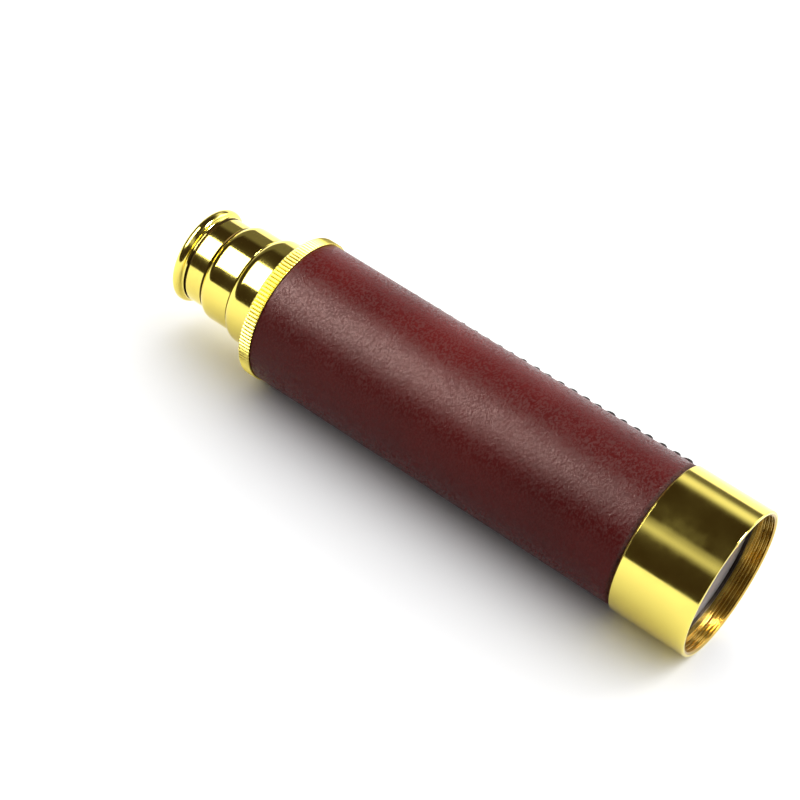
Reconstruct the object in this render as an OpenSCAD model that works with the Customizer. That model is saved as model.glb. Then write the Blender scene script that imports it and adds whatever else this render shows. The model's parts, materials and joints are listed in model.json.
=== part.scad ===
// Pocket draw telescope with a leather-covered barrel and three brass draws.
// The optical axis is X. The objective points to +X and the eye end to -X, with +Z up.
// The origin is the centre of the objective bell's rim. Distances named "_at" are measured
// from that rim towards the eye, and all draws are pushed fully in.

/* [Objective bell] */
// Outer radius of the bell and of the knurled ring
bell_r = 19; // [18:0.1:20]
// Length of the bell in front of the leather
bell_len = 20.2; // [19:0.1:24]
// Radius at the crests of the mouth thread
thread_crest_r = 17.85; // [17.7:0.05:17.9]
// Depth of the mouth thread
thread_depth = 0.4; // [0.2:0.05:0.5]
// Pitch of the mouth thread
thread_pitch = 0.9; // [0.7:0.05:0.95]
// Number of turns of the mouth thread
thread_turns = 3; // [2:1:3]
// Radius of the rounding on the bell's front rim
rim_round = 0.3; // [0.1:0.1:0.4]

/* [Leather cover] */
// Length of the leather cover
leather_len = 104; // [95:1:115]
// Outer radius of the leather cover
leather_r = 18.5; // [18.3:0.1:18.7]
// Thickness of the leather
leather_t = 0.9; // [0.7:0.1:0.9]
// Direction of the seam at its front end, turned from +Y towards +Z in degrees
seam_angle = 48; // [0:1:90]
// Angle that the hand-laid seam wanders back towards +Y by its rear end
seam_drift = 12; // [0:1:15]
// Distance between stitches
stitch_pitch = 3.6; // [3:0.1:5]
// Thickness of the thread
stitch_d = 0.8; // [0.5:0.1:1]
// Angle that one stitch spans between its two holes
stitch_span = 11; // [6:1:14]
// Slant of each stitch from straight across the seam
stitch_slant = 38; // [0:1:50]

/* [Knurled ring] */
// Width of the knurled ring
knurl_w = 3.3; // [3:0.1:4]
// Number of ribs around the knurled ring
knurl_count = 120; // [80:4:140]
// Depth of the grooves between the ribs
knurl_depth = 0.4; // [0.2:0.1:0.5]

/* [Draw tubes] */
// Outer radius of the first draw tube
draw_1_r = 13.3; // [13.2:0.05:13.35]
// Outer radius of the second draw tube
draw_2_r = 11.95; // [11.9:0.05:12]
// Outer radius of the third draw tube
draw_3_r = 10.6; // [10.5:0.05:10.65]
// Wall thickness of the draw tubes
draw_wall = 0.55; // [0.5:0.05:0.6]
// Distance that each draw slides out
travel = 72; // [60:1:74]
// Radial running clearance between a guide and its tube
running = 0.06; // [0.04:0.01:0.08]

/* [Collars and eye end] */
// Outer radius of the first draw's collar
collar_1_r = 14.1; // [14:0.1:14.6]
// Outer radius of the second draw's collar
collar_2_r = 12.8; // [12.7:0.1:13]
// Length of each draw collar
collar_len = 8.9; // [8:0.1:10]
// Radius of the eye end's neck
neck_r = 11.4; // [11.3:0.05:11.5]
// Length of the eye end's neck
neck_len = 5.9; // [5:0.1:7]
// Outer radius of the eye end's lip
lip_r = 12.6; // [12.3:0.05:12.7]
// Radius of the sight hole
sight_hole_r = 3.6; // [2:0.1:4]

/* [Hidden] */
$fn = 96;
over = 1;                                        // how far a cutting tool passes a face

// Barrel
leather_at = bell_len;
leather_end_at = leather_at + leather_len;
barrel_r = leather_r - leather_t;
barrel_bore_r = barrel_r - 0.6;
barrel_at = 14;                                  // where the barrel tube meets the bell's seat
seat_at = 12;                                    // front of the shoulder behind the lenses
seat_r = 15.6;
lens_at = 5.6;                                   // front edge of the objective
cell_bore = 17.45;                               // bore that the objective sits in
lens_r = cell_bore - 0.03;
ring_w = 0.8;
ring_r = 16.8;
thread_at = 0.3;
thread_land = 0.3;                               // part of the pitch that each crest takes
relief_w = 0.5;
relief_at = thread_at + (thread_turns + thread_land) * thread_pitch;
thread_root_r = thread_crest_r + thread_depth;
mouth_r = thread_root_r + 0.1;
rear_chamfer = 0.45;

// Objective elements: the crown's rear face and the flint's front face share one sphere
crown_edge_t = 1.6;
crown_front_curve = 150;
cement_curve = 90;
cement_at = lens_at + crown_edge_t;
crown_front_centre_at = lens_at + sqrt(crown_front_curve * crown_front_curve - lens_r * lens_r);
ring_at = crown_front_centre_at - sqrt(crown_front_curve * crown_front_curve - ring_r * ring_r) - ring_w;
cement_centre_at = cement_at - sqrt(cement_curve * cement_curve - lens_r * lens_r);

// Knurled collar and first guide
knurl_at = leather_end_at;
knurl_end_at = knurl_at + knurl_w;
sleeve_at = knurl_at - 16.2;                     // front of the inner sleeve, which stops draw 1
screw_at = knurl_at - 6.2;                       // front of the part that screws into the barrel
sleeve_r = 14.6;
screw_wall = 0.8;
sleeve_bore_r = 13.9;
rear_lip = 1.2;                                  // lip that holds each guide bush in place
lip_gap = 0.15;                                  // radial gap between a lip and its tube
chamfer = 0.4;

// Collars, one behind the other with a fine gap between them
gap = 0.2;
collar_1_at = knurl_end_at + gap;
collar_1_end_at = collar_1_at + collar_len;
collar_2_at = collar_1_end_at + gap;
collar_2_end_at = collar_2_at + collar_len;
collar_lip = 2;
shoulder_run = 2.6;                              // length of the rounded shoulder
collar_1_tip_r = 13;
collar_2_tip_r = neck_r;
bush_len = 14;

// Draw tubes and the rings that stop them
stop_len = 4;
stop_gap = 0.3;                                  // what is left at the end of the travel
stop_side_gap = 0.12;
stop_1_end_at = sleeve_at - travel - stop_gap;
stop_1_at = stop_1_end_at - stop_len;
tube_1_end_at = collar_1_end_at - collar_lip;
bush_1_at = tube_1_end_at - bush_len;
stop_2_end_at = bush_1_at - travel - stop_gap;
stop_2_at = stop_2_end_at - stop_len;
tube_2_end_at = collar_2_end_at - collar_lip;
bush_2_at = tube_2_end_at - bush_len;
stop_3_end_at = bush_2_at - travel - stop_gap;
stop_3_at = stop_3_end_at - stop_len;

// Eye end
eyecup_at = collar_2_end_at + gap;
lip_w = 2.8;
lip_at = eyecup_at + neck_len;
eyecup_end_at = lip_at + lip_w;
cell_r = draw_3_r - draw_wall;                   // everything inside the third draw fits this
cell_bore_r = cell_r - 0.65;
spigot_at = eyecup_at - 6;
spigot_bore_r = 7;
dish_rim_r = 10.9;
dish_rim_at = eyecup_end_at - 0.6;
dish_floor_at = eyecup_end_at - 4.8;
dish_sphere_at = (dish_rim_at * dish_rim_at + dish_rim_r * dish_rim_r - dish_floor_at * dish_floor_at
    - sight_hole_r * sight_hole_r) / (2 * (dish_rim_at - dish_floor_at));
dish_sphere_r = sqrt(pow(dish_sphere_at - dish_rim_at, 2) + pow(dish_rim_r, 2));
plate_t = 2;
eye_lens_end_at = dish_floor_at - plate_t;
eye_lens_t = 3.2;
eye_lens_at = eye_lens_end_at - eye_lens_t;
eye_lens_curve = 12;
eye_ring_w = 1.4;
eye_ring_r = 5.6;

// Eyepiece cell
eyepiece_at = spigot_at - 32;
ledge = 1.5;
ledge_r = 8.4;
field_lens_t = 4.6;
field_lens_curve = 22;
field_ring_w = 1.5;
field_stop_at = eyepiece_at + 19;
field_stop_t = 0.8;
field_stop_r = 6;

// Erector cell
erector_at = stop_3_at + 1;
erector_lens_t = 3.8;
erector_curve = 30;
front_spacer_len = 12;
aperture_t = 0.8;
aperture_r = 1.8;
rear_spacer_len = 20;
spacer_bore_r = cell_bore_r - 0.5;
erector_ring_w = 1.5;
erector_front_at = erector_at + ledge;
front_spacer_at = erector_front_at + erector_lens_t;
aperture_at = front_spacer_at + front_spacer_len;
rear_spacer_at = aperture_at + aperture_t;
erector_rear_at = rear_spacer_at + rear_spacer_len;
erector_ring_at = erector_rear_at + erector_lens_t;
erector_end_at = erector_ring_at + erector_ring_w;

brass = [0.86, 0.71, 0.27];
dull_brass = [0.62, 0.48, 0.2];
black = [0.08, 0.07, 0.07];
leather = [0.36, 0.1, 0.1];
felt = [0.45, 0.36, 0.24];
glass = [0.78, 0.82, 0.88, 0.5];

// Turns children drawn as (radius, distance from the rim) about the optical axis.
module turned() {
    rotate([0, -90, 0]) rotate_extrude() children();
}

// A plain ring from one distance to another.
module ring(from_at, to_at, bore_r, outer_r) {
    turned() translate([bore_r, from_at]) square([outer_r - bore_r, to_at - from_at]);
}

// Outline of a ball whose centre is on the optical axis.
module ball_outline(centre_at, ball_r) {
    translate([0, centre_at]) circle(r = ball_r, $fn = 360);
}

// Outline of a plain rod.
module rod_outline(from_at, to_at, outer_r) {
    translate([0, from_at]) square([outer_r, to_at - from_at]);
}

// A lens that is round on both faces, with its crowns at the two given distances.
module biconvex(from_at, to_at, outer_r, curve_r) {
    color(glass) turned() intersection() {
        rod_outline(from_at, to_at, outer_r);
        ball_outline(from_at + curve_r, curve_r);
        ball_outline(to_at - curve_r, curve_r);
    }
}

// Outline of a collar whose rear end is rounded from outer_r down to tip_r.
module collar_outline(from_at, to_at, outer_r, tip_r) {
    drop = outer_r - tip_r;
    round_r = (drop * drop + shoulder_run * shoulder_run) / (2 * drop);
    shoulder_at = to_at - shoulder_run;
    rod_outline(from_at, shoulder_at, outer_r);
    intersection() {
        translate([outer_r - round_r, shoulder_at]) circle(r = round_r, $fn = 128);
        rod_outline(shoulder_at - over, to_at, outer_r);
    }
}

// A draw's rear collar: it is bored to sit on its tube, with a lip over the tube's end.
module draw_collar(from_at, to_at, outer_r, tip_r, tube_r, inner_tube_r) {
    color(brass) turned() difference() {
        collar_outline(from_at, to_at, outer_r, tip_r);
        rod_outline(from_at - over, to_at - collar_lip, tube_r);
        rod_outline(from_at, to_at + over, inner_tube_r + lip_gap);
    }
}

module draw_tube(from_at, to_at, tube_r) {
    color(dull_brass) ring(from_at, to_at, tube_r - draw_wall, tube_r);
}

module stop_ring(from_at, tube_r, parent_bore_r) {
    color(dull_brass) ring(from_at, from_at + stop_len, tube_r + running, parent_bore_r - stop_side_gap);
}

module guide_bush(from_at, to_at, tube_r, outer_r) {
    color(felt) ring(from_at, to_at, tube_r + running, outer_r);
}

module thread_groove(groove_at) {
    groove_w = thread_pitch * (1 - thread_land);
    polygon([[thread_crest_r - over, groove_at], [thread_crest_r, groove_at],
        [thread_root_r, groove_at + groove_w / 2], [thread_crest_r, groove_at + groove_w],
        [thread_crest_r - over, groove_at + groove_w]]);
}

module objective_bell() {
    color(brass) turned() difference() {
        union() {
            rod_outline(rim_round, bell_len - rear_chamfer, bell_r);
            rod_outline(0, rim_round + over, bell_r - rim_round);
            translate([bell_r - rim_round, rim_round]) circle(r = rim_round, $fn = 64);
            polygon([[0, bell_len - rear_chamfer], [bell_r, bell_len - rear_chamfer],
                [bell_r - rear_chamfer, bell_len], [0, bell_len]]);
        }
        rod_outline(-over, seat_at, cell_bore);
        rod_outline(-over, relief_at, thread_crest_r);
        rod_outline(seat_at - over, barrel_at + over, seat_r);
        rod_outline(barrel_at, bell_len + over, barrel_r);
        polygon([[0, -over], [mouth_r + over, -over], [mouth_r, 0], [thread_crest_r, thread_at],
            [0, thread_at]]);
        for (turn = [0 : thread_turns - 1]) {
            thread_groove(thread_at + (turn + thread_land) * thread_pitch);
        }
        rod_outline(relief_at, relief_at + relief_w, thread_root_r);
    }
}

// The ring's inner edge bears on the crown lens
module objective_retaining_ring() {
    slot_w = 1.2;
    slot_depth = 0.4;
    color(black) difference() {
        ring(ring_at, ring_at + ring_w, ring_r, lens_r);
        translate([-ring_at - slot_depth, -slot_w / 2, -bell_r])
            cube([slot_depth + over, slot_w, 2 * bell_r]);
    }
}

module crown_lens() {
    color(glass) turned() intersection() {
        rod_outline(lens_at - over, seat_at, lens_r);
        ball_outline(crown_front_centre_at, crown_front_curve);
        ball_outline(cement_centre_at, cement_curve);
    }
}

module flint_lens() {
    color(glass) turned() difference() {
        rod_outline(cement_at, seat_at, lens_r);
        ball_outline(cement_centre_at, cement_curve);
    }
}

module barrel_tube() {
    color(brass) ring(barrel_at, leather_end_at, barrel_bore_r, barrel_r);
}

// The cover's two edges meet in a shallow groove, which runs at a small angle to the axis.
module leather_wrap() {
    seam_depth = 0.4;
    skew = atan(leather_r * seam_drift * PI / 180 / leather_len);
    color(leather) difference() {
        ring(leather_at, leather_end_at, barrel_r, leather_r);
        rotate([seam_angle - seam_drift / 2, 0, 0])
            translate([-leather_at - leather_len / 2, leather_r, 0])
                rotate([0, -skew, 0]) rotate([45, 0, 0])
                    translate([-leather_len / 2 - over, 0, 0])
                        cube([leather_len + 2 * over, seam_depth, seam_depth]);
    }
}

module seam_stitching() {
    stitch_count = floor(leather_len / stitch_pitch);
    first_at = leather_at + (leather_len - (stitch_count - 1) * stitch_pitch) / 2;
    color(black) for (i = [0 : stitch_count - 1]) {
        stitch_at = first_at + i * stitch_pitch;
        stitch_angle = seam_angle - seam_drift * (stitch_at - leather_at) / leather_len;
        translate([-stitch_at, 0, 0]) rotate([stitch_angle, 0, 0]) rotate([0, stitch_slant, 0])
            rotate([-stitch_span / 2, 0, 0]) rotate([90, 0, 90]) rotate_extrude(angle = stitch_span)
                translate([leather_r + stitch_d / 2, 0]) circle(d = stitch_d, $fn = 24);
    }
}

// The ribbed band round the knurled ring
module knurl_band() {
    tooth = 360 / knurl_count;
    root_r = bell_r - knurl_depth;
    corners = [[0, bell_r], [0.35, bell_r], [0.55, root_r], [0.8, root_r]];
    ribs = [for (i = [0 : knurl_count - 1], corner = corners)
        let (angle = (i + corner[0]) * tooth)
        [corner[1] * cos(angle), corner[1] * sin(angle)]];
    translate([-knurl_end_at + chamfer, 0, 0]) rotate([90, 0, 90])
        linear_extrude(knurl_w - 2 * chamfer) polygon(ribs);
}

module knurled_collar() {
    rim_r = bell_r - knurl_depth - 0.1;
    color(brass) difference() {
        union() {
            knurl_band();
            turned() {
                polygon([[0, knurl_at], [rim_r - chamfer, knurl_at], [rim_r, knurl_at + chamfer],
                    [rim_r, knurl_end_at - chamfer], [rim_r - chamfer, knurl_end_at], [0, knurl_end_at]]);
                rod_outline(screw_at, knurl_at, barrel_bore_r);
                rod_outline(sleeve_at, screw_at, sleeve_r);
            }
        }
        turned() {
            rod_outline(sleeve_at - over, knurl_end_at - rear_lip, sleeve_bore_r);
            rod_outline(sleeve_at, knurl_end_at + over, draw_1_r + lip_gap);
            translate([sleeve_r, screw_at - over])
                square([barrel_bore_r - screw_wall - sleeve_r, knurl_at - screw_at]);
        }
    }
}

module barrel_guide_bush() {
    guide_bush(sleeve_at + 0.5, knurl_end_at - rear_lip, draw_1_r, sleeve_bore_r);
}

module draw_1_tube() {
    draw_tube(stop_1_at, tube_1_end_at, draw_1_r);
}

module draw_1_stop_ring() {
    stop_ring(stop_1_at, draw_1_r, barrel_bore_r);
}

module draw_1_collar() {
    draw_collar(collar_1_at, collar_1_end_at, collar_1_r, collar_1_tip_r, draw_1_r, draw_2_r);
}

module draw_1_guide_bush() {
    guide_bush(bush_1_at, tube_1_end_at, draw_2_r, draw_1_r - draw_wall);
}

module draw_2_tube() {
    draw_tube(stop_2_at, tube_2_end_at, draw_2_r);
}

module draw_2_stop_ring() {
    stop_ring(stop_2_at, draw_2_r, draw_1_r - draw_wall);
}

module draw_2_collar() {
    draw_collar(collar_2_at, collar_2_end_at, collar_2_r, collar_2_tip_r, draw_2_r, draw_3_r);
}

module draw_2_guide_bush() {
    guide_bush(bush_2_at, tube_2_end_at, draw_3_r, draw_2_r - draw_wall);
}

module draw_3_tube() {
    draw_tube(stop_3_at, eyecup_at, draw_3_r);
}

module draw_3_stop_ring() {
    stop_ring(stop_3_at, draw_3_r, draw_2_r - draw_wall);
}

// A lens cell: a tube with an inward ledge at its front end.
module lens_cell(from_at, to_at) {
    color(black) {
        ring(from_at, to_at, cell_bore_r, cell_r);
        ring(from_at, from_at + ledge, ledge_r, cell_bore_r + 0.1);
    }
}

module erector_tube() {
    lens_cell(erector_at, erector_end_at);
}

module erector_front_lens() {
    biconvex(erector_front_at, front_spacer_at, cell_bore_r, erector_curve);
}

module erector_front_spacer() {
    color(dull_brass) ring(front_spacer_at, aperture_at, spacer_bore_r, cell_bore_r);
}

module erector_aperture_stop() {
    color(black) ring(aperture_at, rear_spacer_at, aperture_r, cell_bore_r);
}

module erector_rear_spacer() {
    color(dull_brass) ring(rear_spacer_at, erector_rear_at, spacer_bore_r, cell_bore_r);
}

module erector_rear_lens() {
    biconvex(erector_rear_at, erector_ring_at, cell_bore_r, erector_curve);
}

module erector_retaining_ring() {
    color(dull_brass) ring(erector_ring_at, erector_end_at, ledge_r, cell_bore_r);
}

module eyepiece_tube() {
    lens_cell(eyepiece_at, spigot_at);
}

module field_lens() {
    biconvex(eyepiece_at + ledge, eyepiece_at + ledge + field_lens_t, cell_bore_r, field_lens_curve);
}

module field_lens_ring() {
    ring_at = eyepiece_at + ledge + field_lens_t;
    color(dull_brass) ring(ring_at, ring_at + field_ring_w, ledge_r, cell_bore_r);
}

module field_stop() {
    color(black) ring(field_stop_at, field_stop_at + field_stop_t, field_stop_r, cell_bore_r);
}

module eye_lens() {
    color(glass) turned() intersection() {
        rod_outline(eye_lens_at, eye_lens_end_at, spigot_bore_r);
        ball_outline(eye_lens_at + eye_lens_curve, eye_lens_curve);
    }
}

module eye_lens_ring() {
    color(dull_brass) ring(eye_lens_at - eye_ring_w, eye_lens_at, eye_ring_r, spigot_bore_r);
}

module eyecup() {
    bead_r = lip_w / 2;
    color(brass) turned() difference() {
        union() {
            rod_outline(spigot_at, eyecup_at + over, cell_r);
            rod_outline(eyecup_at, lip_at + bead_r, neck_r);
            rod_outline(lip_at, eyecup_end_at, lip_r - bead_r);
            translate([lip_r - bead_r, lip_at + bead_r]) circle(r = bead_r, $fn = 64);
        }
        ball_outline(dish_sphere_at, dish_sphere_r);
        rod_outline(spigot_at, eyecup_end_at, sight_hole_r);
        rod_outline(spigot_at - over, eye_lens_end_at, spigot_bore_r);
    }
}

objective_bell();
objective_retaining_ring();
crown_lens();
flint_lens();
barrel_tube();
leather_wrap();
seam_stitching();
knurled_collar();
barrel_guide_bush();
draw_1_tube();
draw_1_stop_ring();
draw_1_collar();
draw_1_guide_bush();
draw_2_tube();
draw_2_stop_ring();
draw_2_collar();
draw_2_guide_bush();
draw_3_tube();
draw_3_stop_ring();
erector_tube();
erector_front_lens();
erector_front_spacer();
erector_aperture_stop();
erector_rear_spacer();
erector_rear_lens();
erector_retaining_ring();
eyepiece_tube();
field_lens();
field_lens_ring();
field_stop();
eye_lens();
eye_lens_ring();
eyecup();
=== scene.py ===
import json
import math

import bpy
import numpy as np
from mathutils import Matrix, Vector, noise

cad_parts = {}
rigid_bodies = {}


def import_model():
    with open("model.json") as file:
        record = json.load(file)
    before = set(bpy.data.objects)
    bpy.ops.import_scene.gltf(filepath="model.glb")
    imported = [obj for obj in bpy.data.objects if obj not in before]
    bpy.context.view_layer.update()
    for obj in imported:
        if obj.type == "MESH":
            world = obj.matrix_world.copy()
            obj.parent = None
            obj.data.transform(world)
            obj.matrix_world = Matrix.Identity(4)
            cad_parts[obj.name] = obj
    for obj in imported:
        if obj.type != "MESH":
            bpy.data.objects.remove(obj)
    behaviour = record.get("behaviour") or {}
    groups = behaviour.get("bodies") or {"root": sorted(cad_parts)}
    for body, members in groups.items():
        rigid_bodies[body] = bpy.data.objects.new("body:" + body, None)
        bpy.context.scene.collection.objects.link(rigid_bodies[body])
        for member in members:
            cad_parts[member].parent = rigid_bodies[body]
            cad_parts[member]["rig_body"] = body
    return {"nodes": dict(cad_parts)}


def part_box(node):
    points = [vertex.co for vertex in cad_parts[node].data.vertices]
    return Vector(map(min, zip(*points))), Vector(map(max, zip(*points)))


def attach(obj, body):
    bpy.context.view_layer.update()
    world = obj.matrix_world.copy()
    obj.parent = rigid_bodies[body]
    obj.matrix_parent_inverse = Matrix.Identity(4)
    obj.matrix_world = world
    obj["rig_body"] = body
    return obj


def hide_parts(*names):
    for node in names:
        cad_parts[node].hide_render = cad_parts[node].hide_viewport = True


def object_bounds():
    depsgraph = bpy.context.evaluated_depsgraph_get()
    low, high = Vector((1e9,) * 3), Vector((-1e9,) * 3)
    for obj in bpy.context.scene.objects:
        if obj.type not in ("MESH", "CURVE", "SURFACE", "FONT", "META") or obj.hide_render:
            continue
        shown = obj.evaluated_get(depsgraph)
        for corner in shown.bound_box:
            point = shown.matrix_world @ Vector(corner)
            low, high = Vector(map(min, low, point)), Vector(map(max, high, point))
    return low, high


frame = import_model()
cad_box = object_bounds()

# The frame is in metres. The sizes here are in mm, and "at" is the distance behind the bell's rim,
# so a point at (at, radius) in an outline lies at x = -at.
MM = 0.001
COLUMNS = 256                   # steps round a turned piece
ARC_STEP = math.radians(11)     # steps along a rounded corner
SUPPORT = 0.12                  # distance from a corner to the row that keeps the faces beside it flat
SMOOTH = math.radians(38)       # edges that turn more than this stay sharp
GAP = 0.015                     # what is left between two pieces that would share a face


# ---------------------------------------------------------------- outlines and meshes

def extent(node):
    """(front, rear, outer radius) of a round CAD node."""
    low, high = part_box(node)
    return -high.x / MM, -low.x / MM, high.z / MM


def outline(*corners):
    """A closed outline from corners given as (at, radius) or (at, radius, rounding)."""
    points = []
    for i, corner in enumerate(corners):
        here = Vector(corner[:2])
        before = Vector(corners[i - 1][:2]) - here
        after = Vector(corners[(i + 1) % len(corners)][:2]) - here
        rounding = corner[2] if len(corner) > 2 else 0
        if rounding == 0:
            points.append(tuple(here))
            continue
        turn = math.pi - before.angle(after)
        reach = rounding * math.tan(turn / 2)
        to_before, to_after = before.normalized(), after.normalized()
        centre = here + (to_before + to_after).normalized() * (rounding / math.cos(turn / 2))
        start = here + to_before * reach - centre
        end = here + to_after * reach - centre
        if before.length > 2 * reach + 3 * SUPPORT:
            points.append(tuple(here + to_before * (reach + SUPPORT)))
        steps = max(2, math.ceil(turn / ARC_STEP))
        for k in range(steps + 1):
            share = k / steps
            way = start * math.sin((1 - share) * turn) + end * math.sin(share * turn)
            points.append(tuple(centre + way / math.sin(turn)))
        if after.length > 2 * reach + 3 * SUPPORT:
            points.append(tuple(here + to_after * (reach + SUPPORT)))
    return points


def line(start, end, step):
    """Points from start towards end, both given as (at, radius), leaving the end out."""
    count = max(1, round(math.dist(start, end) / step))
    return [tuple(Vector(start).lerp(Vector(end), k / count)) for k in range(count)]


def arc(centre, radius, first, last, steps):
    """Points on a circle. Its angles are in degrees, from the rearward direction outward."""
    angles = np.radians(np.linspace(first, last, steps + 1))
    return [(centre[0] + radius * math.cos(a), centre[1] + radius * math.sin(a)) for a in angles]


def add_object(name, data):
    """A new object in the scene."""
    thing = bpy.data.objects.new(name, data)
    bpy.context.scene.collection.objects.link(thing)
    return thing


def make_mesh(name, vertices, faces, finish=None, sharp=SMOOTH):
    """A piece from vertices in mm, smooth except at edges that turn more than sharp."""
    mesh = bpy.data.meshes.new(name)
    mesh.from_pydata((np.asarray(vertices) * MM).tolist(), [], faces)
    if finish is not None:
        mesh.polygons.foreach_set("material_index", finish)
    mesh.polygons.foreach_set("use_smooth", np.ones(len(mesh.polygons), bool))
    if sharp is not None:
        mesh.set_sharp_from_angle(angle=sharp)
    mesh.validate()
    mesh.update()
    return add_object(name, mesh)


def grid_faces(rows, columns, flip):
    """The quads of a closed grid that wraps both ways."""
    row, column = np.meshgrid(np.arange(rows), np.arange(columns), indexing="ij")
    below, beside = (row + 1) % rows, (column + 1) % columns
    corners = [row * columns + column, row * columns + beside,
               below * columns + beside, below * columns + column]
    return np.stack(corners[::-1] if flip else corners, axis=-1).reshape(-1, 4)


def lathe(name, points, turns=None, shape=None, finish_of=None):
    """Turns a closed outline about the optical axis. shape(at, turn, radius) gives the changed
    (at, radius) of every vertex, and finish_of(at, radius, column) the material of every face."""
    turns = np.arange(COLUMNS) * 2 * math.pi / COLUMNS if turns is None else turns
    points = np.array(points)
    rows, columns = len(points), len(turns)
    at = np.repeat(points[:, :1], columns, axis=1)
    radius = np.repeat(points[:, 1:], columns, axis=1)
    turn = np.repeat(np.asarray(turns)[None, :], rows, axis=0)
    if shape is not None:
        at, radius = shape(at, turn, radius)
    vertices = np.stack([-at, radius * np.cos(turn), radius * np.sin(turn)], axis=-1)
    after = np.roll(points, -1, axis=0)
    area = np.sum(points[:, 0] * after[:, 1] - after[:, 0] * points[:, 1])
    faces = grid_faces(rows, columns, area < 0)
    finish = None
    if finish_of is not None:
        middle = (points + after)[:, None] / 2
        finish = finish_of(middle[..., 0], middle[..., 1], np.arange(columns)[None, :])
        finish = np.broadcast_to(finish, (rows, columns)).astype(int).ravel()
    return make_mesh(name, vertices.reshape(-1, 3), faces.tolist(), finish)


def lens(name, front_face, rear_face, outer_r, bevel=0.25, rings=28):
    """A closed lens. Each face is a function from radius to distance."""
    radii = np.sin(np.linspace(0, math.pi / 2, rings)) * (outer_r - bevel)
    front = [(front_face(r), r) for r in radii]
    rear = [(rear_face(r), r) for r in radii[::-1]]
    edge = [(front[-1][0] + bevel, outer_r), (rear[0][0] - bevel, outer_r)]
    points = front + edge + rear
    turns = np.arange(COLUMNS) * 2 * math.pi / COLUMNS
    vertices = [(-points[0][0], 0, 0)]
    for at, r in points[1:-1]:
        vertices += [(-at, r * math.cos(t), r * math.sin(t)) for t in turns]
    vertices.append((-points[-1][0], 0, 0))
    faces = []
    for j in range(COLUMNS):
        k = (j + 1) % COLUMNS
        faces.append((0, 1 + j, 1 + k))
        for i in range(len(points) - 3):
            here, there = 1 + i * COLUMNS, 1 + (i + 1) * COLUMNS
            faces.append((here + j, there + j, there + k, here + k))
        last = 1 + (len(points) - 3) * COLUMNS
        faces.append((last + j, len(vertices) - 1, last + k))
    return make_mesh(name, vertices, faces)


def fit(piece, node, slot, *materials):
    """Gives a new piece its materials and lets it stand for a CAD node, on that node's body."""
    for material in materials:
        piece.data.materials.append(material)
    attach(piece, frame["nodes"][node]["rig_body"])
    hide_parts(node)
    return piece


def smoothstep(low, high, value):
    share = np.clip((value - low) / (high - low), 0, 1)
    return share * share * (3 - 2 * share)


# ---------------------------------------------------------------- materials

class Shader:
    """Builds one material's nodes. A socket's value is a number, a colour or another socket."""

    def __init__(self, name, **values):
        self.material = bpy.data.materials.new(name)
        self.material.use_nodes = True
        self.tree = self.material.node_tree
        self.principled = self.tree.nodes["Principled BSDF"]
        self.place = self.add("ShaderNodeTexCoord").outputs["Object"]
        self.along = self.add("ShaderNodeSeparateXYZ", {0: self.place}).outputs["X"]
        self.set(**values)

    def add(self, kind, inputs=None, **settings):
        node = self.tree.nodes.new(kind)
        for key, value in settings.items():
            setattr(node, key, value)
        for key, value in (inputs or {}).items():
            self.plug(node.inputs[key], value)
        return node

    def plug(self, socket, value):
        if isinstance(value, bpy.types.NodeSocket):
            self.tree.links.new(value, socket)
        else:
            socket.default_value = value

    def set(self, **values):
        """Sets the Principled shader's sockets, whose names are written with underscores."""
        for key, value in values.items():
            self.plug(self.principled.inputs[key.replace("_", " ")], value)

    def math(self, operation, a, b=0.0, c=0.0):
        return self.add("ShaderNodeMath", {0: a, 1: b, 2: c}, operation=operation).outputs[0]

    def scaled(self, x, y, z):
        """The place in the object, stretched along each axis."""
        return self.add("ShaderNodeVectorMath", {0: self.place, 1: (x, y, z)},
                        operation="MULTIPLY").outputs[0]

    def noise(self, scale, detail=3.0, roughness=0.5, distortion=0.0, where=None):
        return self.add("ShaderNodeTexNoise", {
            "Vector": where or self.place, "Scale": scale, "Detail": detail,
            "Roughness": roughness, "Distortion": distortion}).outputs["Fac"]

    def cells(self, scale, where):
        """Distance to the nearest of scattered points, blended softly between them."""
        return self.add("ShaderNodeTexVoronoi", {"Vector": where, "Scale": scale},
                        feature="SMOOTH_F1").outputs["Distance"]

    def span(self, value, low, high, to_low=0.0, to_high=1.0):
        """Maps a stretch of values to another, held at its ends."""
        return self.add("ShaderNodeMapRange", {
            "Value": value, "From Min": low, "From Max": high,
            "To Min": to_low, "To Max": to_high}).outputs["Result"]

    def mix(self, share, first, second):
        node = self.add("ShaderNodeMix", data_type="RGBA")
        self.plug(node.inputs["Factor"], share)
        self.plug(node.inputs["A"], first)
        self.plug(node.inputs["B"], second)
        return node.outputs["Result"]

    def bump(self, height, distance, normal=None):
        """A bump whose height of 1 stands for distance mm."""
        node = self.add("ShaderNodeBump", {"Height": height, "Distance": distance * MM, "Strength": 1.0})
        if normal is not None:
            self.plug(node.inputs["Normal"], normal)
        return node.outputs["Normal"]


def metal(name, colour, dull_colour, roughness, tool_marks):
    """Turned metal: fine rings left by the tool, polishing haze and a little tarnish."""
    s = Shader(name, Metallic=1.0)
    rings = s.noise(1.0, detail=4.0, roughness=0.6, where=s.scaled(2600, 90, 90))
    haze = s.noise(140, detail=4.0, roughness=0.6)
    tarnish = s.span(s.noise(60, detail=5.0, roughness=0.65, distortion=0.6), 0.52, 0.78)
    s.set(Base_Color=s.mix(s.math("MULTIPLY", tarnish, 0.35), colour, dull_colour))
    low, high = roughness
    worn = s.span(haze, 0.35, 0.7, low, high)
    s.set(Roughness=s.math("MULTIPLY_ADD", rings, 0.03, worn))
    s.set(Normal=s.bump(s.math("MULTIPLY_ADD", haze, 0.2, rings), tool_marks))
    return s.material


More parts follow.
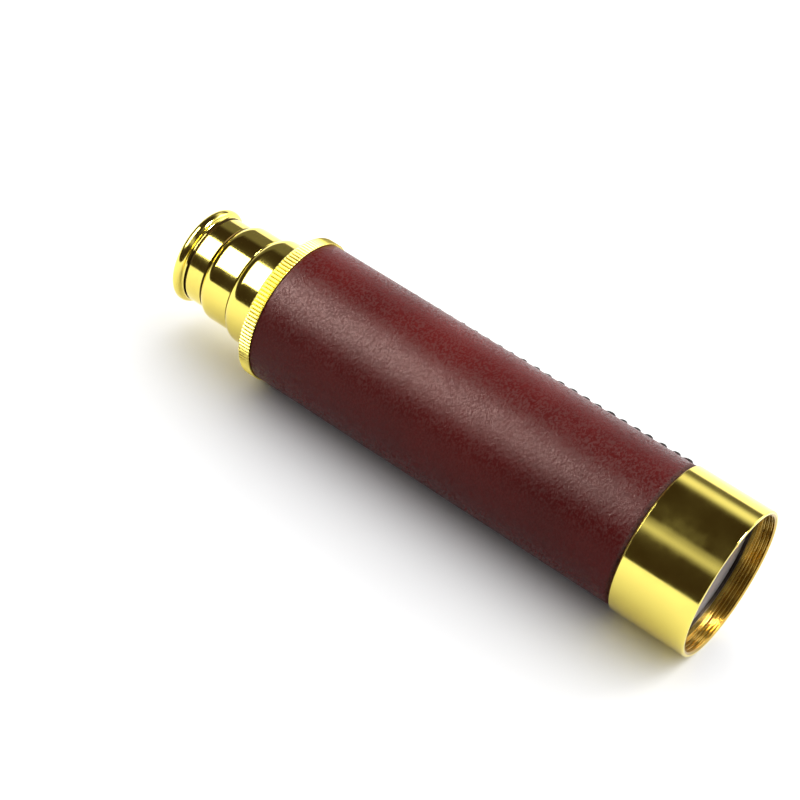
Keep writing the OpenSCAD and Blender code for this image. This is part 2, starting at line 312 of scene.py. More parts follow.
def leather(name, front_at):
    """Burgundy leather with a fine grain, a waxed finish and a raw fibrous edge at its front. Its
    specular level is low (0.5 is usual), and was tuned together with wax_softbox."""
    s = Shader(name, IOR=1.5, Specular_IOR_Level=0.19, Specular_Tint=(1.0, 0.74, 0.66, 1))

    # uneven dye
    drift = s.noise(32, detail=2.0, roughness=0.5)
    mottle = s.noise(700, detail=4.0, roughness=0.6)
    stain = s.span(s.math("MULTIPLY_ADD", mottle, 0.4, drift), 0.5, 0.9)
    base = s.mix(stain, (0.088, 0.0044, 0.0046, 1), (0.126, 0.0058, 0.0054, 1))

    # grain, dark in its creases
    warped = s.add("ShaderNodeVectorMath", {
        0: s.place,
        1: s.add("ShaderNodeTexNoise", {"Vector": s.place, "Scale": 1500.0}).outputs["Color"],
        2: (0.0003, 0.0003, 0.0003)}, operation="MULTIPLY_ADD").outputs[0]
    pebble = s.cells(1500, warped)
    grain = s.noise(1.0, detail=2.5, roughness=0.55, where=s.scaled(1500, 950, 950))
    height = s.math("MULTIPLY_ADD", pebble, 0.25, grain)
    dark = s.span(pebble, 0.1, 0.55, 0.12, 0.0)
    grained = s.mix(dark, base, (0.03, 0.004, 0.004, 1))

    # fibres in a ragged band along the front edge
    fibre = s.noise(2400, detail=5.0, roughness=0.7)
    depth = s.math("MULTIPLY_ADD", s.along, -1.0 / MM, -front_at)
    raw = s.span(s.math("MULTIPLY_ADD", fibre, -2.2, s.math("ADD", depth, 1.1)), 0.75, 1.15, 1.0, 0.0)
    frayed = s.mix(s.span(fibre, 0.42, 0.6), (0.010, 0.002, 0.002, 1), (0.12, 0.022, 0.012, 1))
    s.set(Base_Color=s.mix(raw, grained, frayed))

    # wax that is rubbed thin in small matt spots
    pores = s.noise(4200, detail=3.0, roughness=0.6)
    waxed = s.span(s.math("MULTIPLY_ADD", pores, 0.4, mottle), 0.45, 0.95, 0.17, 0.25)
    speckle = s.noise(1.0, detail=2.0, roughness=0.6, where=s.scaled(2200, 1450, 1450))
    matt = s.math("ADD", s.span(speckle, 0.41, 0.50, 0.44, 0.0), s.math("MULTIPLY", raw, 0.4))
    s.set(Roughness=s.math("ADD", matt, waxed))
    s.set(Normal=s.bump(height, 0.085, normal=s.bump(s.math("MULTIPLY", fibre, raw), 0.12)))
    return s.material


def cut_leather(name):
    """The raw edge of the leather: lighter, fibrous and matt."""
    s = Shader(name, IOR=1.45)
    fibre = s.noise(1.0, detail=5.0, roughness=0.7, where=s.scaled(2600, 1400, 1400))
    s.set(Base_Color=s.mix(s.span(fibre, 0.35, 0.7), (0.03, 0.006, 0.005, 1), (0.22, 0.06, 0.03, 1)))
    s.set(Roughness=s.span(fibre, 0.3, 0.7, 0.7, 0.95))
    s.set(Normal=s.bump(fibre, 0.12))
    return s.material


def thread(name):
    """Dark waxed thread."""
    s = Shader(name, IOR=1.46, Specular_IOR_Level=0.25, Sheen_Weight=0.05, Sheen_Roughness=0.4)
    fibre = s.noise(5200, detail=3.0, roughness=0.6)
    s.set(Base_Color=s.mix(fibre, (0.008, 0.004, 0.004, 1), (0.032, 0.010, 0.009, 1)))
    s.set(Roughness=s.span(fibre, 0.3, 0.7, 0.42, 0.68))
    s.set(Normal=s.bump(fibre, 0.05))
    return s.material


def glass(name, clear, dusting):
    """Optical glass with a faint lilac coating. Dust shows where it is seen at a low angle."""
    s = Shader(name, IOR=1.52, Transmission_Weight=clear, Sheen_Weight=dusting, Sheen_Roughness=0.3,
               Sheen_Tint=(0.92, 0.88, 0.94, 1))
    dust = s.span(s.noise(700, detail=5.0, roughness=0.7), 0.62, 0.8)
    s.set(Base_Color=s.mix(dust, (0.97, 0.98, 0.97, 1), (0.9, 0.9, 0.88, 1)))
    s.set(Roughness=s.span(dust, 0, 1, 0.0, 0.06))
    return s.material


def felt(name):
    """Woven felt lining of the draw tube guides."""
    s = Shader(name, Sheen_Weight=0.5, Sheen_Roughness=0.5)
    fibre = s.noise(1.0, detail=6.0, roughness=0.75, where=s.scaled(3000, 3000, 3000))
    s.set(Base_Color=s.mix(fibre, (0.12, 0.08, 0.045, 1), (0.3, 0.22, 0.13, 1)))
    s.set(Roughness=s.span(fibre, 0.3, 0.7, 0.85, 1.0))
    s.set(Normal=s.bump(fibre, 0.15))
    return s.material


GOLD, WARM_GOLD = (0.94, 0.785, 0.165, 1), (0.80, 0.54, 0.11, 1)
polished_brass = metal("polished_brass", GOLD, WARM_GOLD, (0.07, 0.14), 0.0035)
mouth_brass = metal("mouth_brass", (0.52, 0.35, 0.075, 1), (0.26, 0.16, 0.04, 1), (0.17, 0.26), 0.0002)
# Very dark brass for painted shade: it goes on faces in grooves and in gaps between parts, where shade
# falls.
painted_shade_brass = metal("painted_shade_brass", (0.09, 0.055, 0.014, 1), (0.04, 0.025, 0.01, 1),
                      (0.35, 0.55), 0.002)
drawn_brass = metal("drawn_brass", GOLD, WARM_GOLD, (0.12, 0.22), 0.005)
knurled_brass = metal("knurled_brass", GOLD, WARM_GOLD, (0.24, 0.34), 0.004)
satin_brass = metal("satin_brass", (0.66, 0.47, 0.15, 1), (0.38, 0.25, 0.09, 1), (0.26, 0.42), 0.01)
blackened_brass = metal("blackened_brass", (0.035, 0.03, 0.028, 1), (0.1, 0.075, 0.04, 1),
                        (0.38, 0.6), 0.01)
burgundy_leather = leather("burgundy_leather", extent("leather_wrap")[0])
leather_edge = cut_leather("leather_edge")
waxed_thread = thread("waxed_thread")
optical_glass = glass("optical_glass", 1.0, 0.05)
coated_glass = glass("coated_glass", 0.9, 1.0)
guide_felt = felt("guide_felt")


# ---------------------------------------------------------------- objective end

BARREL_R = extent("barrel_tube")[2]
BARREL_AT = extent("barrel_tube")[0]
BARREL_WALL = 0.6
LENS_R = extent("crown_lens")[2]
CELL_R = LENS_R + 0.03
SEAT_AT = extent("flint_lens")[1]
THREAD_PITCH = 0.9
THREAD_DEPTH = 0.4
THREAD_AT, THREAD_END_AT = 0.3, 3.27
THREAD_R = 17.85                # at the crests
THREAD_LAND = 0.3               # part of the pitch that each crest takes
STOP_R = 15.6                   # bore of the shoulder behind the lenses


def bell_thread(at, turn, radius):
    """Cuts a true helix into the mouth's rows."""
    phase = np.mod(at / THREAD_PITCH - turn / (2 * math.pi), 1)
    flank = (1 - THREAD_LAND) / 2
    groove = np.clip((flank - np.abs(phase - 0.5)) / (flank - 0.05), 0, 1)
    lead = smoothstep(THREAD_AT, THREAD_AT + 0.2, at)
    run_out = smoothstep(THREAD_END_AT, THREAD_END_AT - 0.3, at)
    inside = np.abs(radius - THREAD_R) < 0.001
    return at, radius + THREAD_DEPTH * groove * lead * run_out * inside


def make_bell():
    front, rear, bell_r = extent("objective_bell")
    relief_end_at = THREAD_END_AT + 0.5
    chamfer = 0.45
    root_r = THREAD_R + THREAD_DEPTH
    corners = outline(
        (THREAD_AT, THREAD_R), (front, root_r + 0.1, 0.06), (front, bell_r, 0.3),
        (rear - chamfer, bell_r, 0.1), (rear, bell_r - chamfer, 0.08), (rear, BARREL_R),
        (BARREL_AT, BARREL_R), (BARREL_AT, STOP_R), (SEAT_AT, STOP_R, 0.08), (SEAT_AT, CELL_R),
        (relief_end_at, CELL_R, 0.06), (relief_end_at, root_r, 0.05), (THREAD_END_AT, root_r, 0.05))
    threads = line((THREAD_END_AT, THREAD_R), (THREAD_AT, THREAD_R), THREAD_PITCH / 16)
    return lathe("objective_bell_detail", corners + threads, shape=bell_thread,
                 finish_of=lambda at, r, _: (r < root_r + 0.05) & (at < SEAT_AT + 1))


def make_retaining_ring():
    front, rear, outer_r = extent("objective_retaining_ring")
    slot_half, slot_depth, bore_r = 0.6, 0.4, 16.8
    half = slot_half / outer_r
    wall = 0.004
    cuts = [side + edge for side in (math.pi / 2, 1.5 * math.pi)
            for edge in (-half - wall, -half, half, half + wall)]
    turns = np.sort(np.concatenate([np.arange(COLUMNS) * 2 * math.pi / COLUMNS, cuts]))
    corners = outline((front, bore_r, 0.1), (front, outer_r, 0.1), (rear, outer_r), (rear, bore_r, 0.06))

    def slots(at, turn, radius):
        cut = np.abs(np.cos(turn)) < math.sin(half + wall / 4)
        return np.where(cut, np.maximum(at, front + slot_depth), at), radius

    return lathe("objective_retaining_ring_detail", corners, turns=turns, shape=slots)


CROWN_CURVE, CEMENT_CURVE = 150, 90


def make_objective_lenses():
    crown_front, crown_rear, _ = extent("crown_lens")

    def crown_face(r):
        return crown_front + CROWN_CURVE - math.sqrt(CROWN_CURVE ** 2 - r * r)

    def cement_face(r):
        return crown_rear - CEMENT_CURVE + math.sqrt(CEMENT_CURVE ** 2 - r * r)

    crown = lens("crown_lens_detail", crown_face, cement_face, LENS_R)
    flint = lens("flint_lens_detail", lambda r: cement_face(r) + GAP, lambda r: SEAT_AT - GAP, LENS_R)
    return crown, flint


fit(make_bell(), "objective_bell", "polished_brass", polished_brass, mouth_brass)
fit(make_retaining_ring(), "objective_retaining_ring", "blackened_brass", blackened_brass)
crown, flint = make_objective_lenses()
fit(crown, "crown_lens", "optical_glass", coated_glass)
fit(flint, "flint_lens", "optical_glass", optical_glass)


# ---------------------------------------------------------------- leather and its seam

LEATHER_AT, LEATHER_END_AT, _ = extent("leather_wrap")
LEATHER_R = 18.5
EDGE_ROUND = 0.14           # rounding of the leather's cut front edge
SEAM_FRONT, SEAM_REAR = math.radians(48), math.radians(36)   # from +Y towards +Z
STITCH_PITCH = 3.6
STITCH_RUN = 3.1            # how far a stitch runs along the seam
STITCH_SPAN = 2.5           # distance between the holes across the seam
THREAD_D = 0.7
STITCH_REACH = 3.5          # how far along the seam a stitch pulls the leather
STITCH_COUNT = math.floor((LEATHER_END_AT - LEATHER_AT) / STITCH_PITCH)
FIRST_STITCH_AT = LEATHER_AT + (LEATHER_END_AT - LEATHER_AT - (STITCH_COUNT - 1) * STITCH_PITCH) / 2


def seam_turn(at):
    """The seam's direction at a distance, as it wanders a little round the barrel."""
    share = (at - LEATHER_AT) / (LEATHER_END_AT - LEATHER_AT)
    return SEAM_FRONT + (SEAM_REAR - SEAM_FRONT) * share + 0.006 * np.sin(at / 7.0)


def stitch_holes():
    """(at, distance across the seam) of every pair of holes, each a little off its even place."""
    wobble, most = np.random.default_rng(5), 0.35
    holes = []
    for i in range(STITCH_COUNT):
        middle = FIRST_STITCH_AT + i * STITCH_PITCH
        near, far = wobble.uniform(-most, most, 2), wobble.uniform(-most, most, 2)
        holes.append(((middle + STITCH_RUN / 2 + near[0], -STITCH_SPAN / 2 + near[1]),
                      (middle - STITCH_RUN / 2 + far[0], STITCH_SPAN / 2 + far[1])))
    return holes


HOLES = stitch_holes()


def bell_curve(distance, width):
    return np.exp(-(distance / width) ** 2)


def leather_relief(at, across):
    """How far the leather stands off its round shape beside the seam: sunk where its edges meet,
    raised beside that, and pulled in under the stitches and at their holes."""
    height = -0.5 * bell_curve(across, 0.32)
    height += 0.11 * bell_curve(np.abs(across) - 0.95, 0.5)
    for pair in HOLES:
        start, end = np.array(pair[0]), np.array(pair[1])
        near = np.abs(at - (start[0] + end[0]) / 2) < STITCH_REACH
        a, c = at[near], across[near]
        way = end - start
        share = np.clip(((a - start[0]) * way[0] + (c - start[1]) * way[1]) / (way @ way), 0, 1)
        gap = np.hypot(a - start[0] - share * way[0], c - start[1] - share * way[1])
        pull = -0.07 * bell_curve(gap, 0.75)
        for hole in (start, end):
            pull -= 0.34 * bell_curve(np.hypot(a - hole[0], c - hole[1]), 0.42)
        height[near] += pull
    return height


def leather_shape(at, turn, radius):
    """Shapes the seam, slow waves all over and a ragged front edge."""
    across = (np.mod(turn - seam_turn(at) + math.pi, 2 * math.pi) - math.pi) * LEATHER_R
    outer = smoothstep(BARREL_R, LEATHER_R - 0.15, radius)
    beside = np.abs(across) < 5
    relief = np.zeros_like(at)
    relief[beside] = leather_relief(at[beside], across[beside])
    places = np.stack([at * 0.06, np.cos(turn) * 1.1, np.sin(turn) * 1.1], axis=-1).reshape(-1, 3)
    waves = np.array([noise.noise(Vector(p)) for p in places]).reshape(at.shape)
    ragged = np.array([noise.fractal(Vector((math.cos(t) * 16, math.sin(t) * 16, 3)), 0.6, 2.1, 4)
                       for t in turn[0]])
    front = np.exp(-(at - LEATHER_AT) / 0.5) * (0.16 + 0.16 * np.clip(ragged, -1, 1))
    sunk = np.exp(-(at - LEATHER_AT) / 0.6) * (0.1 + 0.2 * np.clip(np.roll(ragged, 7), -0.5, 1))
    rear = np.exp(-(LEATHER_END_AT - at) / 0.5) * 0.06
    return at + front - rear, radius + outer * (relief + 0.05 * waves - sunk)


def make_leather():
    step = 0.27
    fine = math.radians(0.62)
    corners = outline((LEATHER_AT, BARREL_R), (LEATHER_AT, LEATHER_R, EDGE_ROUND),
                      (LEATHER_END_AT, LEATHER_R, 0.22), (LEATHER_END_AT, BARREL_R))
    front_end = max(i for i, p in enumerate(corners) if p[0] < LEATHER_AT + 1)
    rows = line(corners[front_end], corners[front_end + 1], step)[1:]
    edge = line(corners[0], corners[1], 0.15)[1:]
    points = corners[:1] + edge + corners[1:front_end + 1] + rows + corners[front_end + 1:]
    middle = (SEAM_FRONT + SEAM_REAR) / 2
    half = math.radians(13) + abs(SEAM_FRONT - SEAM_REAR) / 2
    beside = np.arange(middle - half, middle + half, fine)
    rest = np.linspace(beside[-1] + fine, beside[0] + 2 * math.pi, 170, endpoint=False)
    return lathe("leather_wrap_detail", points, turns=np.concatenate([beside, rest]), shape=leather_shape,
                 finish_of=lambda at, r, _: (((at < LEATHER_AT + 0.05) | (at > LEATHER_END_AT - 0.05))
                                             & (r < LEATHER_R - 0.03)))


def sweep(path, outward, radius, sides):
    """Rings of a round tube along path, and its closed faces."""
    path, outward = np.asarray(path), np.asarray(outward)
    along = np.gradient(path, axis=0)
    along /= np.linalg.norm(along, axis=1)[:, None]
    side = np.cross(along, outward)
    side /= np.linalg.norm(side, axis=1)[:, None]
    up = np.cross(side, along)
    angles = np.arange(sides) * 2 * math.pi / sides
    rings = path[:, None] + radius * (
        side[:, None] * np.cos(angles)[None, :, None] + up[:, None] * np.sin(angles)[None, :, None])
    faces = []
    for i in range(len(path) - 1):
        for j in range(sides):
            k = (j + 1) % sides
            faces.append((i * sides + j, (i + 1) * sides + j, (i + 1) * sides + k, i * sides + k))
    faces.append(tuple(range(sides)))
    faces.append(tuple((len(path) - 1) * sides + j for j in reversed(range(sides))))
    return rings.reshape(-1, 3), faces


def make_stitching():
    """Slanted stitches across the seam, each of three waxed plies laid together."""
    plies, ply_r, ply_sides = 3, 0.175, 8
    lay_r, lay_length = 0.15, 2.4       # radius and length of one turn of the plies about each other
    share = np.linspace(0, 1, 26)
    vertices, faces, count = [], [], 0
    for start, end in HOLES:
        length = math.dist(start, end)
        at = start[0] + (end[0] - start[0]) * share
        across = start[1] + (end[1] - start[1]) * share
        height = THREAD_D * (1.45 * np.sin(math.pi * share) ** 0.22 - 1.0)
        turn = seam_turn(at) + across / LEATHER_R
        outward = np.stack([np.zeros_like(turn), np.cos(turn), np.sin(turn)], axis=-1)
        centre = outward * (LEATHER_R + height)[:, None]
        centre[:, 0] = -at
        along = np.gradient(centre, axis=0)
        along /= np.linalg.norm(along, axis=1)[:, None]
        side = np.cross(along, outward)
        side /= np.linalg.norm(side, axis=1)[:, None]
        up = np.cross(side, along)
        for ply in range(plies):
            angle = 2 * math.pi * (ply / plies + share * length / lay_length)
            path = centre + lay_r * (side * np.cos(angle)[:, None] + up * np.sin(angle)[:, None])
            ring, quads = sweep(path, up, ply_r, ply_sides)
            vertices.append(ring)
            faces += [tuple(count + i for i in quad) for quad in quads]
            count += len(ring)
    return make_mesh("seam_stitching_detail", np.concatenate(vertices), faces, sharp=None)


wrap = fit(make_leather(), "leather_wrap", "burgundy_leather", burgundy_leather, leather_edge)
stitching = fit(make_stitching(), "seam_stitching", "thread", waxed_thread)


# ---------------------------------------------------------------- knurled ring

TUBE_R = {n: extent(f"draw_{n}_tube")[2] for n in (1, 2, 3)}
LIP_GAP = 0.15                  # between a tube and the lip round it
KNURL_COUNT = 120
KNURL_DEPTH = 0.4
# how deep each of a rib's columns lies, from its top to the groove and back
KNURL_STEPS = np.array([0.0, 0.07, 0.33, 0.8, 1.0, 0.8, 0.33, 0.07])


def make_knurled_collar():
    knurl_at = LEATHER_END_AT
    sleeve_at, rear, bell_r = extent("knurled_collar")
    screw_at = knurl_at - 6.2
    sleeve_r, sleeve_bore_r = 14.6, 13.9
    bore_r, lip_at = TUBE_R[1] + LIP_GAP, rear - 1.2
    barrel_bore_r = BARREL_R - BARREL_WALL - GAP
    screw_r = barrel_bore_r - 0.8
    front_chamfer, rear_chamfer = 0.14, 0.4
    root_r = bell_r - KNURL_DEPTH
    band = line((knurl_at, root_r - 0.3), (knurl_at, bell_r - front_chamfer), 0.09)
    band += line((knurl_at, bell_r - front_chamfer), (knurl_at + front_chamfer, bell_r), 0.07)
    band += line((knurl_at + front_chamfer, bell_r), (rear - rear_chamfer, bell_r), 0.5)
    band += line((rear - rear_chamfer, bell_r), (rear, bell_r - rear_chamfer), 0.09)
    band += line((rear, bell_r - rear_chamfer), (rear, root_r - 0.5), 0.2)
    inside = outline((rear, bore_r, 0.12), (lip_at, bore_r), (lip_at, sleeve_bore_r),
                     (sleeve_at, sleeve_bore_r, 0.1), (sleeve_at, sleeve_r, 0.1),
                     (knurl_at - 1, sleeve_r), (knurl_at - 1, screw_r), (screw_at, screw_r),
                     (screw_at, barrel_bore_r, 0.1), (knurl_at, barrel_bore_r))
    columns = KNURL_COUNT * len(KNURL_STEPS)

    def ribs(at, turn, radius):
        groove = np.tile(KNURL_STEPS, KNURL_COUNT)[None, :]
        return at, np.minimum(radius, bell_r - KNURL_DEPTH * groove)

    def finish(at, radius, column):
        """0 off the knurled band, 1 on the two faces beside a groove's bottom, which get painted shade,
        and 2 on the ribs.
        """
        on_band = (radius > root_r) & (at < rear - rear_chamfer)
        beside_root = np.abs(column % len(KNURL_STEPS) - 3.5) < 1
        return on_band * np.where(beside_root, 1, 2)

    return lathe("knurled_collar_detail", band + inside, shape=ribs, finish_of=finish,
                 turns=np.arange(columns) * 2 * math.pi / columns)


fit(make_knurled_collar(), "knurled_collar", "polished_brass", polished_brass, painted_shade_brass,
    knurled_brass)


# ---------------------------------------------------------------- draws and eye end

SHOULDER_RUN = 2.6              # length of a collar's rounded shoulder
COLLAR_LIP = 2
DRAW_WALL = 0.55


def make_draw_tube(number):
    front, rear, outer_r = extent(f"draw_{number}_tube")
    corners = outline((front, outer_r - DRAW_WALL, 0.12), (front, outer_r, 0.15),
                      (rear, outer_r), (rear, outer_r - DRAW_WALL))
    return lathe(f"draw_{number}_tube_detail", corners)


def make_draw_collar(number, tip_r):
    """A collar with a straight front part and a shoulder rounded down to tip_r."""
    front, rear, outer_r = extent(f"draw_{number}_collar")
    drop = outer_r - tip_r
    round_r = (drop * drop + SHOULDER_RUN ** 2) / (2 * drop)
    shoulder_at = rear - SHOULDER_RUN
    sweep_angle = math.degrees(math.asin(SHOULDER_RUN / round_r))
    shoulder = arc((shoulder_at, outer_r - round_r), round_r, 90, 90 - sweep_angle, 14)
    corners = outline((front, TUBE_R[number]), (front, outer_r, 0.18),
                      (shoulder_at - SUPPORT, outer_r))
    bore = outline((rear, tip_r - 0.3), (rear, TUBE_R[number + 1] + LIP_GAP, 0.1),
                   (rear - COLLAR_LIP, TUBE_R[number + 1] + LIP_GAP), (rear - COLLAR_LIP, TUBE_R[number]))
    tip = [(rear - 0.22, shoulder[-2][1]), (rear - 0.1, tip_r - 0.12)]
    shoulder = [point for point in shoulder if point[0] < rear - 0.3]
    # The faces at the collar's rear tip get painted shade, for the gap to the next piece.
    return lathe(f"draw_{number}_collar_detail", corners + shoulder + tip + bore,
                 finish_of=lambda at, r, _: (at > rear - 0.26) & (r > TUBE_R[number + 1]))


def make_eyecup():
    spigot_at, rear, lip_r = extent("eyecup")
    neck_r, neck_at = 11.4, extent("draw_3_tube")[1]
    bead_r, cove_r = 1.4, 0.6
    bead_at = rear - bead_r
    spigot_r = TUBE_R[3] - DRAW_WALL - GAP
    eye_lens_rear, bore_r = extent("eye_lens")[1], extent("eye_lens")[2] + GAP
    hole_r, floor_at = 3.6, rear - 4.8
    rim_at, rim_r = rear - 0.6, 10.9
    sphere_at = (rim_at ** 2 + rim_r ** 2 - floor_at ** 2 - hole_r ** 2) / (2 * (rim_at - floor_at))
    sphere_r = math.hypot(sphere_at - rim_at, rim_r)
    step_up = neck_r + cove_r - (lip_r - bead_r)
    cove_run = math.sqrt((bead_r + cove_r) ** 2 - step_up ** 2)
    meet = math.degrees(math.asin(step_up / (bead_r + cove_r)))
    cove_at = bead_at - cove_run
    cove = arc((cove_at, neck_r + cove_r), cove_r, -90, -meet, 8)
    groove_at, groove_r = cove_at - 0.8, neck_r - 0.45
    bead = arc((bead_at, lip_r - bead_r), bead_r, 180 - meet, 12, 22)[1:]
    radii = np.linspace(11.15, hole_r + 0.15, 26)
    dish = [(sphere_at - math.sqrt(sphere_r ** 2 - r * r), r) for r in radii]
    spigot = outline((spigot_at, bore_r, 0.1), (spigot_at, spigot_r, 0.15), (neck_at, spigot_r),
                     (neck_at, neck_r - 0.16), (neck_at + 0.3, neck_r, 0.1), (groove_at, neck_r, 0.06),
                     (groove_at + 0.1, groove_r), (cove_at - 0.1, groove_r))
    hole = outline((dish[-1][0] + 0.1, hole_r), (eye_lens_rear, hole_r, 0.1), (eye_lens_rear, bore_r))

    # Faces in the groove before the cove, and at the front beside the collar, get painted shade.
    def painted_shade_faces(at, radius, _):
        in_groove = (at > groove_at + 0.02) & (at < cove_at) & (radius > neck_r - 1)
        beside_collar = (at < neck_at + 0.25) & (radius > spigot_r + 0.1)
        return in_groove & (radius < neck_r - 0.03) | beside_collar

    return lathe("eyecup_detail", spigot + cove + bead + dish + hole, finish_of=painted_shade_faces)


for number, tip_r in ((1, 13.0), (2, 11.4)):
    fit(make_draw_collar(number, tip_r), f"draw_{number}_collar", "polished_brass", polished_brass,
        painted_shade_brass)
for number in (1, 2, 3):
    fit(make_draw_tube(number), f"draw_{number}_tube", "satin_brass", drawn_brass)
fit(make_eyecup(), "eyecup", "polished_brass", polished_brass, painted_shade_brass)


# ---------------------------------------------------------------- CAD nodes that stay

NODE_FINISH = {
    "barrel_tube": satin_brass, "barrel_guide_bush": guide_felt,
    "draw_1_stop_ring": satin_brass, "draw_1_guide_bush": guide_felt,
    "draw_2_stop_ring": satin_brass, "draw_2_guide_bush": guide_felt,
    "draw_3_stop_ring": satin_brass,
    "erector_tube": blackened_brass, "erector_front_lens": optical_glass,
    "erector_front_spacer": blackened_brass, "erector_aperture_stop": blackened_brass,
    "erector_rear_spacer": blackened_brass, "erector_rear_lens": optical_glass,
    "erector_retaining_ring": satin_brass, "eyepiece_tube": blackened_brass,
    "field_lens": optical_glass, "field_lens_ring": satin_brass, "field_stop": blackened_brass,
    "eye_lens": optical_glass, "eye_lens_ring": satin_brass,
}

for node, material in NODE_FINISH.items():
    mesh = frame["nodes"][node].data
    mesh.materials.clear()
    mesh.materials.append(material)


# ---------------------------------------------------------------- floor, light and camera

REST_Z = cad_box[0].z
MIDDLE = (cad_box[0] + cad_box[1]) / 2


def make_floor():
    """A plain pale floor, just under the object. Its front edge lies a short way before the object.
    Matt surfaces get less light back from it than its look would give. That is not physical. It keeps
    the leather's underside dark, as in the photo, where a dark case lies beneath."""
    count, near, far, half = 24, -0.19, 4.0, 4.0
    vertices = [(x, y, REST_Z - GAP * MM) for x in np.linspace(-half, half, count + 1)
                for y in np.linspace(near, far, count + 1)]
    faces = [(i * (count + 1) + j, (i + 1) * (count + 1) + j, (i + 1) * (count + 1) + j + 1,
              i * (count + 1) + j + 1) for i in range(count) for j in range(count)]
    mesh = bpy.data.meshes.new("floor")
    mesh.from_pydata(vertices, [], faces)
    floor = add_object("floor", mesh)
    s = Shader("floor_paper", Roughness=0.9, Specular_IOR_Level=0.1)
    paper = s.mix(s.noise(30, detail=4.0), (0.88, 0.88, 0.885, 1), (0.91, 0.91, 0.91, 1))
    bounced = s.add("ShaderNodeLightPath").outputs["Is Diffuse Ray"]
    s.set(Base_Color=s.mix(bounced, paper, (0.36, 0.36, 0.36, 1)))
    mesh.materials.append(s.material)


def make_world():
    """White for the eye, and for matt surfaces a soft fill, brighter from above and behind. Mirror-like
    surfaces see a nearly dark room instead, with a white backdrop low behind the object, a strip above
    that and a cloudy streak on the camera's side. They give the brass the bands that the photo has."""
    world = bpy.data.worlds.new("studio")
    bpy.context.scene.world = world
    world.use_nodes = True
    world.cycles.sampling_method = "NONE"
    nodes, links = world.node_tree.nodes, world.node_tree.links
    nodes.clear()

    def add(kind, *values, **settings):
        node = nodes.new(kind)
        for key, value in settings.items():
            setattr(node, key, value)
        for socket, value in zip(node.inputs, values):
            if isinstance(value, bpy.types.NodeSocket):
                links.new(value, socket)
            else:
                socket.default_value = value
        return node.outputs[0]

    def calc(operation, *values):
        return add("ShaderNodeMath", *values, operation=operation)

    def rise(value, low, high):
        return add("ShaderNodeMapRange", value, low, high, 0.0, 1.0, interpolation_type="SMOOTHSTEP")

    around = nodes.new("ShaderNodeTexCoord").outputs["Generated"]
    direction = nodes.new("ShaderNodeSeparateXYZ")
    links.new(around, direction.inputs[0])
    x, y, z = direction.outputs
    turn = calc("DEGREES", calc("ARCTAN2", z, y))

    def band(low, high, soft):
        """1 between two angles round the X axis, from +Y towards +Z, with soft edges."""
        above = rise(turn, low - soft, low + soft)
        beyond = rise(turn, high - soft, high + soft)
        return calc("MULTIPLY", above, calc("SUBTRACT", 1.0, beyond))

    def scaled(share, strength):
        return calc("MULTIPLY", share, strength)

    front_side = rise(x, -0.40, -0.26)
    cloud = add("ShaderNodeTexNoise", around, 0.0, 5.0, 6.0, 0.6)
    strip = scaled(calc("MULTIPLY", band(34, 50, 7), front_side), 0.9)
    streak = scaled(calc("MULTIPLY", band(126, 142, 7), front_side), calc("MULTIPLY", cloud, 1.1))
    lit = scaled(band(-60, 18, 2.5), 1.45)
    for part in (strip, streak, scaled(band(20, 56, 6), 0.13)):
        lit = calc("ADD", lit, part)
    fill = calc("MAXIMUM", calc("MULTIPLY_ADD", z, 0.55, calc("MULTIPLY_ADD", y, 1.2, 1.04)), 0.05)

    path = nodes.new("ShaderNodeLightPath")
    to_eye, to_matt = path.outputs["Is Camera Ray"], path.outputs["Is Diffuse Ray"]
    plain = calc("MULTIPLY_ADD", to_matt, fill, to_eye)
    mirrored = calc("SUBTRACT", 1.0, calc("MAXIMUM", to_eye, to_matt))
    colour = nodes.new("ShaderNodeCombineXYZ")
    for socket, dark in zip(colour.inputs, (0.038, 0.026, 0.019)):
        seen = calc("MULTIPLY_ADD", calc("ADD", lit, dark), mirrored, plain)
        links.new(seen, socket)
    background = add("ShaderNodeBackground", colour.outputs[0], 1.0)
    links.new(background, nodes.new("ShaderNodeOutputWorld").inputs["Surface"])


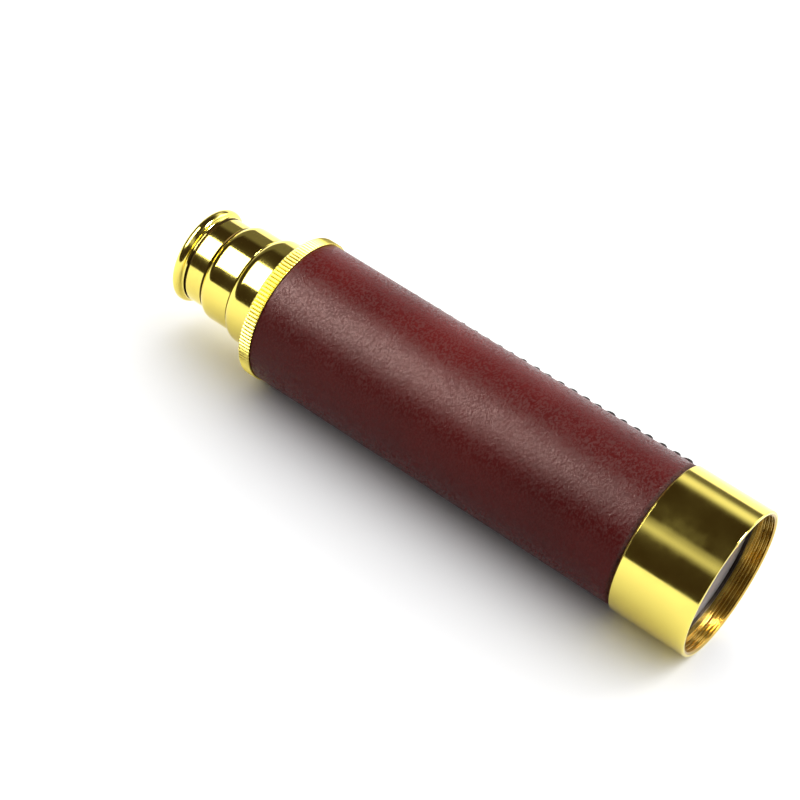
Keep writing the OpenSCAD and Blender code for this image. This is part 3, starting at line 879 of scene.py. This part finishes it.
def softbox(name, direction, distance, width, height, radiance, for_shine=False):
    """A flat rectangular light that faces the object. Its width runs along the telescope. One that is
    for shine shows as shine only: no matt surface is lit by it, directly or by another surface."""
    back = Vector(direction).normalized()
    across = (Vector((1, 0, 0)) - back * back.x).normalized()
    lamp = bpy.data.lights.new(name, "AREA")
    lamp.shape = "RECTANGLE"
    lamp.size, lamp.size_y = width, height
    lamp.energy = radiance * math.pi * width * height
    if for_shine:
        lamp.use_nodes = True
        nodes, links = lamp.node_tree.nodes, lamp.node_tree.links
        first = nodes.new("ShaderNodeMath")
        first.operation = "LESS_THAN"
        first.inputs[1].default_value = 0.5
        links.new(nodes.new("ShaderNodeLightPath").outputs["Diffuse Depth"], first.inputs[0])
        links.new(first.outputs[0], nodes["Emission"].inputs["Strength"])
    light = add_object(name, lamp)
    turned = Matrix((across, back.cross(across), back)).transposed().to_4x4()
    light.matrix_world = Matrix.Translation(MIDDLE + back * distance) @ turned
    light.visible_diffuse = not for_shine
    return light


def reach(light, pieces, state):
    """Lets a light reach these pieces only (INCLUDE), or everything but them (EXCLUDE)."""
    receivers = bpy.data.collections.new(light.name + "_reach")
    light.light_linking.receiver_collection = receivers
    for piece in pieces:
        receivers.objects.link(piece)
    for entry in receivers.collection_objects:
        entry.light_linking.link_state = state


def make_camera():
    """The camera looks down at the objective end from the side, rolled a little."""
    azimuth, elevation, roll = math.radians(26.2), math.radians(35.4), math.radians(16.5)
    aim, distance = Vector((-0.0783, -0.0266, 0.0150)), 0.4825
    back = Vector((math.sin(azimuth) * math.cos(elevation), -math.cos(azimuth) * math.cos(elevation),
                   math.sin(elevation)))
    level = Vector((math.cos(azimuth), math.sin(azimuth), 0))
    right = level * math.cos(roll) + back.cross(level) * math.sin(roll)
    lens_data = bpy.data.cameras.new("camera")
    lens_data.lens, lens_data.sensor_width = 98.0, 36.0
    lens_data.clip_start, lens_data.clip_end = 0.01, 20
    camera = add_object("camera", lens_data)
    turned = Matrix((right, back.cross(right), back)).transposed().to_4x4()
    camera.matrix_world = Matrix.Translation(aim + back * distance) @ turned
    bpy.context.scene.camera = camera


make_floor()
make_world()
# The leather and its thread have a softbox of their own, much brighter than the one for the rest.
# One light could not be made to give both the leather's sheen and the brass of the photo.
wax_softbox = softbox("wax_softbox", (-0.605, -0.448, 0.658), 0.70, 0.34, 0.44, 40, for_shine=True)
key_softbox = softbox("key_softbox", (-0.542, -0.477, 0.693), 0.69, 0.37, 0.54, 9, for_shine=True)
reach(wax_softbox, (wrap, stitching), "INCLUDE")
reach(key_softbox, (wrap, stitching), "EXCLUDE")
softbox("mouth_lamp", (0.55, 0.25, 0.80), 0.8, 0.21, 0.21, 100, for_shine=True)
softbox("back_softbox", (0.36, 0.80, 0.48), 0.8, 0.35, 0.35, 4.0)
make_camera()
bpy.context.scene.view_settings.view_transform = "Standard"
